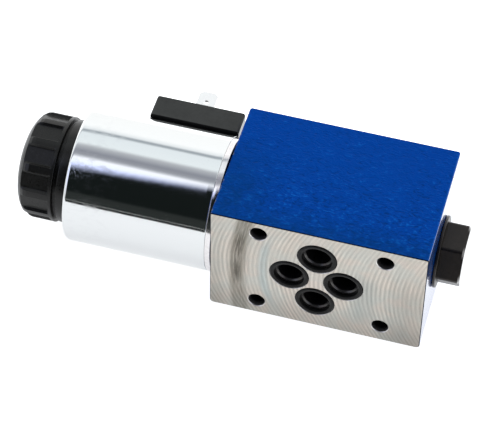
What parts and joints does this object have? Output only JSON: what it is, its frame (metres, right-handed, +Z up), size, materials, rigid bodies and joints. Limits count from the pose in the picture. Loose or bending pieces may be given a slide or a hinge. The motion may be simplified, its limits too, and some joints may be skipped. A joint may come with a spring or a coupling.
{
  "type": "solenoid directional valve",
  "caption": "Subplate-mounted single-solenoid directional spool valve with a plated coil, ring nut, hexagon closing plug and flat-tab electrical connector.",
  "frame": {"origin": "centre of the port pattern on the mounting face", "axes": "+X along the spool axis towards the hexagon closing plug (solenoid at -X), -Y out of the mounting face, +Z up with the valve lying on its side"},
  "size_m": [0.1459, 0.0608, 0.0444],
  "materials": {
    "blue_paint": "semi-gloss blue paint over a cast block, mounting face ground bare",
    "aluminium_plate": "blank satin plate",
    "machined_steel": "turned and ground",
    "black_oxide_steel": "burnished brown-black",
    "nbr_rubber": "matte moulded rubber",
    "chrome_plate": "bright plating",
    "bobbin_plastic": "moulded",
    "enamelled_copper": "enamelled winding wire",
    "dark_grey_plastic": "matte moulded",
    "tinned_brass": "bright tinned",
    "brass": "turned",
    "black_plastic": "satin moulded"
  },
  "bodies": {
    "valve_body": {"valve_body": "blue_paint", "name_plate": "aluminium_plate", "name_plate_pin_left": "machined_steel", "name_plate_pin_right": "machined_steel", "end_plug": "black_oxide_steel", "end_plug_seal": "nbr_rubber", "return_spring": "machined_steel", "port_seal_p": "nbr_rubber", "port_seal_t": "nbr_rubber", "port_seal_a": "nbr_rubber", "port_seal_b": "nbr_rubber", "pole_tube": "machined_steel", "tube_seal": "nbr_rubber", "override_seal": "nbr_rubber", "coil_seal": "nbr_rubber"},
    "spool": {"control_spool": "machined_steel", "spring_plate": "machined_steel"},
    "armature": {"armature": "machined_steel", "push_pin": "machined_steel"},
    "override": {"override_pin": "brass"},
    "coil": {"coil_can": "chrome_plate", "coil_end_plate": "machined_steel", "coil_bobbin": "bobbin_plastic", "coil_winding": "enamelled_copper", "connector_base": "dark_grey_plastic", "contact_pin_1": "tinned_brass", "contact_pin_2": "tinned_brass", "earth_pin": "tinned_brass"},
    "nut_thread": {"nut_seal": "nbr_rubber"},
    "ring_nut": {"ring_nut": "black_plastic"}
  },
  "joints": [
    {"name": "manual_override", "type": "slide", "parent": "valve_body", "child": "override", "axis": [1, 0, 0], "range_m": [0, 0.003], "stiffness_N_per_m": 400},
    {"name": "armature_slide", "type": "slide", "parent": "valve_body", "child": "armature", "axis": [1, 0, 0], "range_m": [0, 0.003]},
    {"name": "spool_slide", "type": "slide", "parent": "valve_body", "child": "spool", "axis": [1, 0, 0], "range_m": [0, 0.003], "deforming": ["return_spring"]},
    {"name": "coil_turn", "type": "hinge", "parent": "valve_body", "child": "coil", "pos_m": [-0.06, 0.02275, 0], "axis": [1, 0, 0], "range_deg": [0, 90]},
    {"name": "nut_advance", "type": "slide", "parent": "valve_body", "child": "nut_thread", "axis": [-1, 0, 0], "range_m": [0, 0.0091]},
    {"name": "nut_turn", "type": "hinge", "parent": "nut_thread", "child": "ring_nut", "pos_m": [-0.093, 0.02275, 0], "axis": [-1, 0, 0], "range_deg": [0, 2160]}
  ],
  "couplings": [
    {"joint": "armature_slide", "follows": "manual_override", "ratio": 1},
    {"joint": "spool_slide", "follows": "manual_override", "ratio": 1},
    {"joint": "nut_advance", "follows": "nut_turn", "m_per_rad": 0.00023873}
  ]
}
